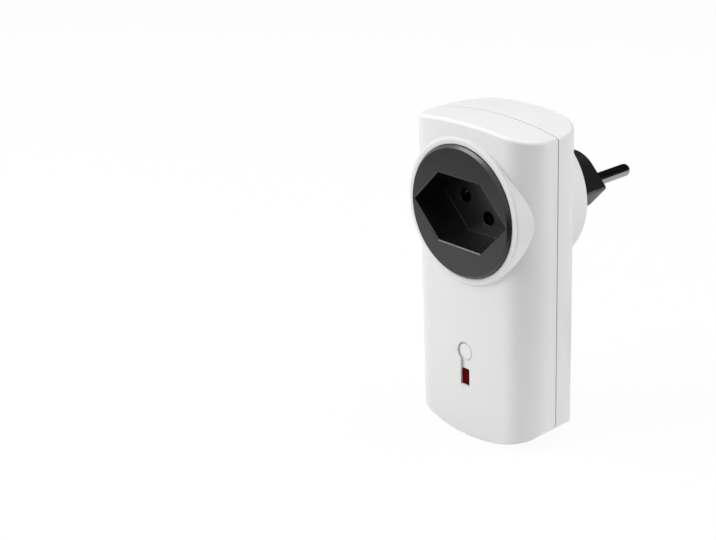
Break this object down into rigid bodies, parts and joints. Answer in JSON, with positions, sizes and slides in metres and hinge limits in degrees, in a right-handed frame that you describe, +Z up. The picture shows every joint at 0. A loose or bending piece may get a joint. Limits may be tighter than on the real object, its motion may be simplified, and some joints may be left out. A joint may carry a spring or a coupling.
{
  "type": "plug in dimmer",
  "caption": "Plug-through dimmer housing with a round six-sided-recess socket in front, a learning button with a red window, and a three-pin plug behind.",
  "frame": {"origin": "on the plug's end face near its centre, midway between the line and neutral pins", "axes": "+Y runs into the wall along the pins, +Z is up, +X is to the right when the socket is looked at from the room"},
  "size_m": [0.0484, 0.0644, 0.0983],
  "materials": {
    "white_shell": "satin white moulded plastic",
    "black_plastic": "satin black moulded plastic",
    "button_white": "satin white moulded plastic",
    "red_lens": "dark red clear plastic",
    "nickel": "nickel-plated brass",
    "brass": "plain brass sheet",
    "zinc_screw": "zinc-plated steel",
    "carrier_plastic": "cream moulded plastic",
    "board_green": "green solder mask",
    "component_black": "black moulded plastic",
    "component_grey": "grey moulded plastic",
    "resistor_tan": "lacquered body",
    "varistor_blue": "blue epoxy",
    "led_red": "red clear plastic",
    "fuse_glass": "clear tube with metal caps",
    "ferrite": "dark ferrite",
    "copper": "enamelled copper wire",
    "film_yellow": "yellow box",
    "can_black": "sleeved aluminium can",
    "bare_aluminium": "bent sheet",
    "tin_can": "tin-plated can"
  },
  "bodies": {
    "housing": {"front_cover": "white_shell", "rear_cover": "white_shell", "case_screws": "zinc_screw", "socket_insert": "black_plastic", "contact_carrier": "carrier_plastic", "carrier_screws": "zinc_screw", "contact_line": "brass", "contact_neutral": "brass", "contact_earth": "brass", "line_strap": "brass", "plug_body": "black_plastic", "pin_line": "nickel", "pin_neutral": "nickel", "pin_earth": "nickel", "led_window": "red_lens", "switch_body": "component_black", "main_board": "board_green", "board_screws": "zinc_screw", "status_led": "led_red", "fuse": "fuse_glass", "fuse_clips": "tin_can", "varistor": "varistor_blue", "resistors": "resistor_tan", "control_chip": "component_black", "receiver_header": "component_black", "receiver_board": "board_green", "receiver_can": "tin_can", "antenna": "copper", "choke_core": "ferrite", "choke_winding": "copper", "filter_capacitor": "film_yellow", "dropper_capacitor": "film_yellow", "smoothing_capacitor": "can_black", "triac": "component_black", "heat_sink": "bare_aluminium", "triac_screw": "zinc_screw"},
    "button": {"learn_button": "button_white"},
    "plunger": {"switch_plunger": "component_grey"}
  },
  "joints": [
    {"name": "button_press", "type": "slide", "parent": "housing", "child": "button", "axis": [0, 1, 0], "range_m": [0, 0.0005], "stiffness_N_per_m": 300},
    {"name": "plunger_press", "type": "slide", "parent": "housing", "child": "plunger", "axis": [0, 1, 0], "range_m": [0, 0.0006]}
  ],
  "couplings": [
    {"joint": "plunger_press", "follows": "button_press", "ratio": 1}
  ]
}
